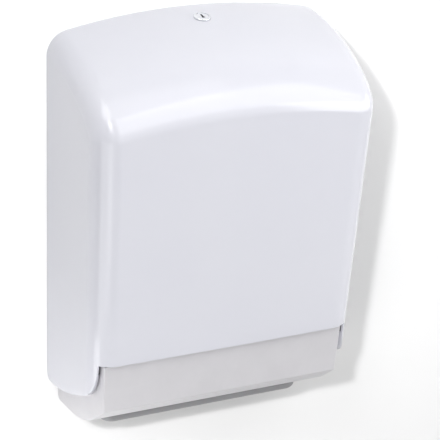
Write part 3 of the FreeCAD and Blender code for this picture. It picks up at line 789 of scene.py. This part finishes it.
def bright_plate(finish):
    """Polished plating with the faint rings of the turning tool about the lock's axis."""
    matrix, tilt = lock_turn_matrix()
    centred = finish.mapped(turn=(-tilt, 0, 0), shift=tuple(matrix.inverted().translation))
    rings = finish.step("ShaderNodeTexWave", {"wave_type": "RINGS", "rings_direction": "Z"}, "Fac",
                        Scale=900.0, Distortion=0.6, Vector=centred)
    finish.tint((300.0, 3.0), (0.86, 0.86, 0.86), 0.8)
    finish.rough((500.0, 3.0), 0.14, 0.28)
    finish.bump(rings, 0.000003)


def moulded_rubber(finish):
    """Matt rubber with a dusty bloom and fine pits."""
    finish.set(Specular_IOR_Level=0.35)
    finish.tint((260.0, 4.0, 0.7), (3.409, 3.318, 2.917), 0.7)
    finish.rough((500.0, 3.0), 0.62, 0.85)
    finish.bump((2200.0, 2.0), 0.00003)


def bearing_plastic(finish):
    """Natural bearing plastic, waxy and slightly cloudy."""
    finish.set(Subsurface_Weight=0.05, Subsurface_Scale=0.001)
    finish.tint((420.0, 3.0), (0.93, 0.93, 0.93), 0.8)
    finish.rough((700.0, 3.0), 0.28, 0.42)
    finish.bump((1800.0, 2.0), 0.000008)


def stamped_brass(finish):
    """Stamped brass with rolled grain and a little tarnish."""
    finish.tint((520.0, 4.0, 0.7), (0.72, 0.72, 0.72), 0.8)
    finish.rough((900.0, 3.0), 0.22, 0.45)
    finish.bump(finish.noise(1500.0, 2.0, places=finish.mapped(scale=(1.0, 0.1, 1.0))), 0.000006)


# What patterns each finish, its roughness and whether it is metal
FINISHES = {
    "white_shell": (gloss_moulding, 0.12, 0.0),
    "grey_body": (satin_moulding, 0.42, 0.0),
    # Painted shade: the rim's satin is set dark to stand for the shade under the front strip
    "grey_rim": (satin_moulding, 0.42, 0.0),
    "sheet": (powder_coat, 0.38, 0.0),
    "zinc": (zinc_plate, 0.3, 1.0),
    "bright": (bright_plate, 0.18, 1.0),
    "spring": (spring_strip, 0.26, 1.0),
    "rubber": (moulded_rubber, 0.75, 0.0),
    "bush": (bearing_plastic, 0.34, 0.0),
    "brass": (stamped_brass, 0.3, 1.0),
}
made_finishes = {}


def finish_for(slot):
    if slot not in made_finishes:
        pattern, roughness, metallic = FINISHES[slot]
        colour = getattr(bpy.context.scene.dispenser_colours, slot)
        finish = Finish(pattern.__name__, colour, roughness, metallic)
        pattern(finish)
        made_finishes[slot] = finish.material
    return made_finishes[slot]


# ---- operators


class DISPENSER_OT_hood(Operator):
    """Moulds the hood: one shell with rolled edges, hinge bosses, stop ribs and the lock's pad and hole"""

    bl_idname = "dispenser.hood"
    bl_label = "Hood"

    def execute(self, context):
        shape = context.scene.dispenser_hood
        skin = both_halves(hood_half(HoodForm(shape), shape))
        shell = add_mesh("hood_shell", *walled(skin, shape.wall, shape.edge_round))
        check_outward(shell.data)
        seat, _ = lock_turn_matrix()
        # (radius, height) about the lock's axis: the hole, its counterbore, and the pad behind them
        bore, counterbore, pad_radius = 0.0071, 0.0086, 0.012
        hole = [(0, -0.012), (bore, -0.012), (bore, -0.0006), (counterbore, -0.0006), (counterbore, 0.008),
                (0, 0.008)]
        pad = [(bore, -0.0055), (pad_radius - 0.0004, -0.0055), (pad_radius, -0.0051), (pad_radius, -0.001),
               (bore, -0.001)]
        cut_away(shell, *turned(hole, 64, seat))
        fittings = [turned(pad, 64, seat)]
        for side in (1, -1):
            fittings += [self.boss(side), self.stop_rib(side), self.lip(skin, shape, side)]
        added = [mesh_of("hood_fitting", *fitting) for fitting in fittings]
        join_into(shell.data, shell.data, *added)
        for mesh in added:
            bpy.data.meshes.remove(mesh)
        round_over(shell.data, HOOD_SMOOTH_ANGLE)
        finished(shell, "cover", "white_shell", "hood")
        return {"FINISHED"}

    @staticmethod
    def lip(skin, shape, side):
        """The flange that turns in from a lobe's lower edge towards the tray, narrower round the corner."""
        half, start, reach, sunk = 0.0008, 0.0015, 0.0055, 0.00002
        highest = place(0, 0, shape.front_edge - 0.0025).z
        rows = []
        for i, way in zip(*rim_ways(skin)):
            spot, normal = skin.points[i], skin.normals[i]
            if spot.x > 0 or spot.y > -0.045 or spot.z > highest:
                continue
            end = shape.wall + reach * normal.x ** 2
            section = [(half, start), (half, end - 0.0005), (half * 0.7, end - 0.00015), (half * 0.3, end)]
            section += [(-out, down) for out, down in reversed(section)]
            row = [spot + (out - sunk) * way - down * normal for out, down in section]
            rows.append([Vector((-side * p.x, p.y, p.z)) for p in row])
        return lofted(rows)

    @staticmethod
    def boss(side):
        """The bored boss that holds a hinge bush, on one side."""
        bore, outer, high = 0.004, 0.009, 0.0056
        profile = [(bore, 0), (outer - 0.0004, 0), (outer, 0.0004), (outer, high), (bore, high)]
        matrix = Matrix.Translation(place(0.1353, *HINGE)) @ Matrix.Rotation(math.pi / 2, 4, "Y")
        return outward(*turned(profile, 48, Matrix.Scale(side, 4, (1, 0, 0)) @ matrix))

    @staticmethod
    def stop_rib(side):
        """The rib inside a lobe that swings between the tray's stops."""
        half, reach, ease, turn = 0.002, 0.025, 0.001, math.radians(150)
        along = Vector((0, -math.cos(turn), math.sin(turn)))
        across = Vector((0, math.sin(turn), math.cos(turn)))
        corners = ((0, -half), (reach - ease, -half), (reach, ease - half), (reach, half - ease),
                   (reach - ease, half), (0, half))
        outline = [place(0, *HINGE) + a * along + b * across for a, b in corners]
        return lofted([[p + Vector((side * x, 0, 0)) for p in outline] for x in (0.136, 0.1407)])


class DISPENSER_OT_tray(Operator):
    """Finishes the tray with its front strip and belly, and the stop pads on its lugs"""

    bl_idname = "dispenser.tray"
    bl_label = "Tray"

    def execute(self, context):
        return dress("housing", grey_body="tray", rubber="stop_pads")


class DISPENSER_OT_outlet_rim(Operator):
    """Sweeps the round bar that rims the towel outlet"""

    bl_idname = "dispenser.outlet_rim"
    bl_label = "Outlet rim"

    def execute(self, context):
        sizes = context.scene.dispenser_rim
        middle = place(0, (sizes.back + sizes.front) / 2, sizes.bar)
        # The bar's dark finish is painted shade, standing for the shade under the front strip
        rim = swept_rim_tree().made("outlet_rim_bar", bpy.data.meshes.new("outlet_rim_bar"), {
            "Width": 2 * sizes.half_width, "Length": sizes.front - sizes.back, "Corner": sizes.corner,
            "Bar radius": sizes.bar, "Middle": tuple(middle), "Finish": finish_for("grey_rim"),
        })
        round_over(rim.data)
        check_outward(rim.data)
        finished(rim, "housing", "grey_body", "outlet_rim", finish="grey_rim")
        return {"FINISHED"}


class DISPENSER_OT_back_plate(Operator):
    """Finishes the pressed back plate, the towel guides and the keeper that the lock's cam hooks behind"""

    bl_idname = "dispenser.back_plate"
    bl_label = "Back plate and guides"

    def execute(self, context):
        return dress("housing", sheet="back_plate towel_guide_left towel_guide_right", zinc="keeper_bracket")


class DISPENSER_OT_fasteners(Operator):
    """Sets the pan-head screws and the spring rivets in their places"""

    bl_idname = "dispenser.fasteners"
    bl_label = "Screws and rivets"

    def execute(self, context):
        sizes = context.scene.dispenser_fasteners
        # Each set of screws: node, depth of its seat, and its places (right, height)
        groups = (
            ("tray_screws", 0.0057, [(x, z) for x in (-0.121, 0.121) for z in (0.022, 0.074)]),
            ("guide_screws", 0.0040, [(x, z) for x in (-0.121, 0.121) for z in (0.120, 0.294)]),
            ("keeper_screws", 0.0045, [(-0.025, 0.354), (-0.011, 0.354)]),
        )
        tree = fastener_tree("Pan-head screws")
        for node, seat, spots in groups:
            form = screw_form(sizes, seat - 0.0004)
            seats = [place(x, seat, z) for x, z in spots]
            screws = self.set_out(tree, node + "_set", form, seats, (math.pi / 2, 0, 0), 0.61)
            bpy.data.objects.remove(form)
            round_over(screws.data)
            check_outward(screws.data)
            finished(screws, "housing", "zinc", node)
        tree = fastener_tree("Spring rivets")
        form = rivet_form(sizes)
        sides = []
        for side in (1, -1):
            seats = [place(side * 0.1386, 0.007, z) for z in (0.2945, 0.3015)]
            sides.append(self.set_out(tree, "rivets", form, seats, (0, side * math.pi / 2, 0), 0.0))
        mesh = bpy.data.meshes.new("spring_rivets_set")
        join_into(mesh, *(rivets.data for rivets in sides))
        for piece in sides + [form]:
            bpy.data.objects.remove(piece)
        round_over(mesh)
        finished(add_object("spring_rivets_set", mesh), "housing", "zinc", "spring_rivets")
        return {"FINISHED"}

    @staticmethod
    def set_out(tree, name, form, seats, facing, spread):
        return tree.made(name, mesh_of(name, seats, []), {
            "Form": form, "Facing": facing, "Turn spread": spread, "Finish": finish_for("zinc")})


def dome(inner, base, across, rise):
    """Points of a quarter ellipse from a head's side to its top."""
    return [(inner + across * math.cos(t), base + rise * math.sin(t)) for t in spaced(0, math.pi / 2, 6)]


def screw_form(sizes, reach):
    """A pan-head screw standing on its seat along Z, with a cross recess."""
    head, high, shank = sizes.head, sizes.head_height, sizes.shank
    profile = [(0, -reach), (shank, -reach), (shank, 0), (head - 0.0002, 0), (head, 0.0002)]
    profile += dome(head - 0.0012, high * 0.45, 0.0012, high * 0.5) + [(head * 0.35, high * 0.99), (0, high)]
    screw = add_mesh("screw_form", *turned(profile, sizes.sides, Matrix()))
    arm, half, floor = head * 0.55, 0.00045, high - 0.0012
    for turn in (0, math.pi / 2):
        spin = Matrix.Rotation(turn, 4, "Z")
        cut_away(screw, *lofted([
            [spin @ Vector((x * long, y * wide, z)) for x, y in ((-1, -1), (1, -1), (1, 1), (-1, 1))]
            for z, long, wide in ((floor, arm * 0.55, half * 0.7), (high + 0.001, arm, half))]))
    return screw


def rivet_form(sizes):
    """A domed rivet standing on the spring strip along Z, its tail behind."""
    head = sizes.rivet_head
    profile = [(0, -0.0041), (0.0020, -0.0041), (0.0024, -0.0037), (0.0024, -0.0031), (0.0016, -0.0031),
               (0.0016, 0), (head, 0)] + dome(0, 0.0002, head, 0.0007)
    return add_mesh("rivet_form", *turned(profile, sizes.sides, Matrix()))


class DISPENSER_OT_springs(Operator):
    """Finishes the hood springs and the rubber buffers"""

    bl_idname = "dispenser.springs"
    bl_label = "Springs and buffers"

    def execute(self, context):
        return dress("housing", spring="hood_spring_left hood_spring_right", rubber="hood_buffers")


class DISPENSER_OT_hinge(Operator):
    """Finishes the hinge pins, their clips and the bushes"""

    bl_idname = "dispenser.hinge"
    bl_label = "Hinge"

    def execute(self, context):
        dress("housing", zinc="hinge_pin_left hinge_pin_right", spring="hinge_clips")
        return dress("cover", bush="hinge_bush_left hinge_bush_right")


class DISPENSER_OT_lock(Operator):
    """Finishes the lock: barrel, plug, wafers, cam and their fixings"""

    bl_idname = "dispenser.lock"
    bl_label = "Lock"

    def execute(self, context):
        dress("cover", bright="lock_barrel", zinc="lock_nut lock_washer")
        return dress("lock", bright="lock_plug", brass="lock_wafers", zinc="lock_cam cam_washer cam_screw")


# What lamps look at, and each lamp's name, group, share of the group's power, place, target, width and height
MIDDLE, SHOULDER = (0, -0.06, -0.02), (0, -0.12, 0.13)
LAMPS = (
    ("overhead_left", "top", 0.66, (-1.0, -0.6, 1.7), MIDDLE, 1.0, 1.0),
    ("overhead_front", "top", 0.34, (0.0, -0.8, 1.9), MIDDLE, 1.5, 1.2),
    ("key_high", "key", 0.71, (-1.093, -1.362, 1.511), MIDDLE, 0.45, 0.45),
    ("key_left", "key", 0.29, (-1.062, -1.635, 1.077), MIDDLE, 0.5, 0.5),
    ("fill_front", "fill", 0.63, (1.6, -1.7, 0.2), MIDDLE, 1.2, 1.2),
    ("fill_right", "fill", 0.37, (2.0, -0.6, 0.2), MIDDLE, 1.0, 1.0),
    ("main_softbox", "main", 1.0, (0.576, -1.272, 1.090), SHOULDER, 1.5, 1.3),
    ("low_left", "low", 0.88, (-1.1, -0.9, -0.55), MIDDLE, 1.2, 0.7),
    ("low_near_wall", "low", 0.08, (-0.45, -0.15, -0.42), (-0.14, -0.06, -0.15), 0.2, 0.2),
    ("low_end", "low", 0.04, (-0.24, -0.14, -0.36), (-0.10, -0.05, -0.21), 0.1, 0.1),
    ("low_front", "low_front", 1.0, (-0.8, -1.4, -0.7), (0, -0.06, -0.15), 0.8, 0.5),
    ("rear", "rear", 1.0, (0.4, 1.7, 0.7), MIDDLE, 1.5, 1.5),
    ("wall_light", "wall", 1.0, (-1.18, -1.70, 1.06), MIDDLE, 0.12, 0.12),
)
# The stage in metres from the frame's origin
WALL_FACE, WALL_TOP, FLOOR_LEVEL = 0.0004, 2.4, -0.9
STAGE_HALF_WIDTH, STAGE_FRONT = 3, -4
CAMERA_SPOT = (-0.73027, -1.60486, 0.71289)
# Share of light that the stage gives back to the part, and the share that the camera sees
BOUNCED, SHOWN = 0.30, 0.80
# The stage is clear to rays shorter than this, in metres
TOUCHING = 0.003


class DISPENSER_OT_stage(Operator):
    """Sets up the wall, the floor, the soft lights and the camera"""

    bl_idname = "dispenser.stage"
    bl_label = "Stage"

    def execute(self, context):
        studio = context.scene.dispenser_studio
        wide = STAGE_HALF_WIDTH
        foot = [(-wide, WALL_FACE, FLOOR_LEVEL), (wide, WALL_FACE, FLOOR_LEVEL)]
        top = [(wide, WALL_FACE, WALL_TOP), (-wide, WALL_FACE, WALL_TOP)]
        front = [(-wide, STAGE_FRONT, FLOOR_LEVEL), (wide, STAGE_FRONT, FLOOR_LEVEL)]
        wall = self.sheet("backdrop_wall", foot + top, 0.0)
        self.sheet("pale_floor", front + foot[::-1], 0.5)
        for name, group, share, spot, target, width, height in LAMPS:
            power = share * getattr(studio, group + "_light")
            self.lamp(name, Vector(spot), Vector(target), width, height, power)
        backdrop = bpy.data.collections.new("backdrop")
        backdrop.objects.link(wall)
        bpy.data.objects["wall_light"].light_linking.receiver_collection = backdrop
        self.surroundings(context, studio.below, studio.above)
        self.camera(context, studio)
        context.scene.view_settings.view_transform = "Standard"
        return {"FINISHED"}

    @staticmethod
    def sheet(name, corners, lift):
        """A surface that takes shadows and looks white to the camera, mirrors and glass.

        It gives off less light than it shows, and is clear from behind and to what touches it,
        so that light reaches the back of the part.
        """
        surface = add_mesh(name, corners, [[0, 1, 2, 3]])
        material = bpy.data.materials.new(name)
        material.use_nodes = True
        material.node_tree.nodes.clear()
        nodes = Nodes(material.node_tree)
        rays = nodes.add("ShaderNodeLightPath").outputs
        mirrored = nodes.maths("MAXIMUM", rays["Is Glossy Ray"], rays["Is Transmission Ray"])
        seen = nodes.maths("MAXIMUM", rays["Is Camera Ray"], mirrored)
        shade = nodes.step("ShaderNodeMapRange", To_Min=BOUNCED, To_Max=SHOWN, Value=seen)
        matt = nodes.step("ShaderNodeBsdfDiffuse", Color=shade)
        glow = nodes.step("ShaderNodeEmission", Strength=nodes.maths("MULTIPLY", seen, lift))
        shown = nodes.fed("ShaderNodeAddShader", None, matt, glow)
        touching = nodes.maths("LESS_THAN", rays["Ray Length"], TOUCHING)
        behind = nodes.step("ShaderNodeNewGeometry", None, "Backfacing")
        mixed = nodes.fed("ShaderNodeMixShader", None, nodes.maths("MAXIMUM", behind, touching), shown,
                          nodes.step("ShaderNodeBsdfTransparent"))
        nodes.add("ShaderNodeOutputMaterial", Surface=mixed)
        surface.data.materials.append(material)
        return surface

    @staticmethod
    def lamp(name, spot, target, width, height, power):
        light = bpy.data.lights.new(name, "AREA")
        light.shape = "RECTANGLE"
        light.size = width
        light.size_y = height
        light.energy = power
        lamp = add_object(name, light)
        lamp.location = spot
        lamp.rotation_euler = (spot - target).to_track_quat("Z", "Y").to_euler()

    @staticmethod
    def surroundings(context, low, high):
        """Light that a pale floor would throw up; the camera, mirrors and glass see white."""
        world = bpy.data.worlds.new("studio_room")
        world.use_nodes = True
        context.scene.world = world
        nodes = Nodes(world.node_tree)
        rays = nodes.add("ShaderNodeLightPath").outputs
        spot = nodes.step("ShaderNodeTexCoord", None, "Generated")
        height = nodes.step("ShaderNodeSeparateXYZ", None, "Z", Vector=spot)
        level = nodes.step("ShaderNodeMapRange", From_Min=-0.1, From_Max=0.1, To_Min=low, To_Max=high,
                           Value=height)
        for kind in ("Is Glossy Ray", "Is Transmission Ray", "Is Camera Ray"):
            level = nodes.maths("MAXIMUM", level, rays[kind])
        back = nodes.tree.nodes["Background"]
        nodes.feed(back.inputs["Color"], (1, 1, 1, 1))
        nodes.feed(back.inputs["Strength"], level)

    @staticmethod
    def camera(context, studio):
        lens = bpy.data.cameras.new("photo_view")
        lens.lens = studio.focal
        lens.sensor_width = 36.0
        lens.clip_end = 20.0
        camera = add_object("photo_view", lens)
        camera.matrix_world = (
            Matrix.Translation(CAMERA_SPOT) @ Matrix.Rotation(-studio.turn, 4, "Z")
            @ Matrix.Rotation(math.pi / 2 - studio.tilt, 4, "X") @ Matrix.Rotation(studio.roll, 4, "Z"))
        context.scene.camera = camera


class DISPENSER_PT_sidebar(Panel):
    """Lists the dispenser's pieces and its sizes"""

    bl_label = "Dispenser"
    bl_space_type = "VIEW_3D"
    bl_region_type = "UI"
    bl_category = "Dispenser"

    def draw(self, context):
        for operator in PIECES:
            self.layout.operator(operator.bl_idname)
        for name, group in SETTINGS.items():
            box = self.layout.box()
            box.label(text=name.split("_")[1].capitalize())
            for key in group.__annotations__:
                box.prop(getattr(context.scene, name), key)


PIECES = (
    DISPENSER_OT_hood, DISPENSER_OT_tray, DISPENSER_OT_outlet_rim, DISPENSER_OT_back_plate,
    DISPENSER_OT_fasteners, DISPENSER_OT_springs, DISPENSER_OT_hinge, DISPENSER_OT_lock, DISPENSER_OT_stage,
)
SETTINGS = {
    "dispenser_hood": HoodSizes,
    "dispenser_rim": RimSizes,
    "dispenser_fasteners": FastenerSizes,
    "dispenser_colours": FinishColours,
    "dispenser_studio": StudioSettings,
}


def register():
    for group in SETTINGS.values():
        bpy.utils.register_class(group)
    for piece in PIECES + (DISPENSER_PT_sidebar,):
        bpy.utils.register_class(piece)
    for name, group in SETTINGS.items():
        setattr(bpy.types.Scene, name, PointerProperty(type=group))


def unregister():
    for name in SETTINGS:
        delattr(bpy.types.Scene, name)
    for piece in reversed(PIECES + (DISPENSER_PT_sidebar,)):
        bpy.utils.unregister_class(piece)
    for group in SETTINGS.values():
        bpy.utils.unregister_class(group)


def main():
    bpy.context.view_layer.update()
    register()
    for piece in PIECES:
        getattr(bpy.ops.dispenser, piece.bl_idname.split(".")[1])()


if __name__ == "__main__":
    main()
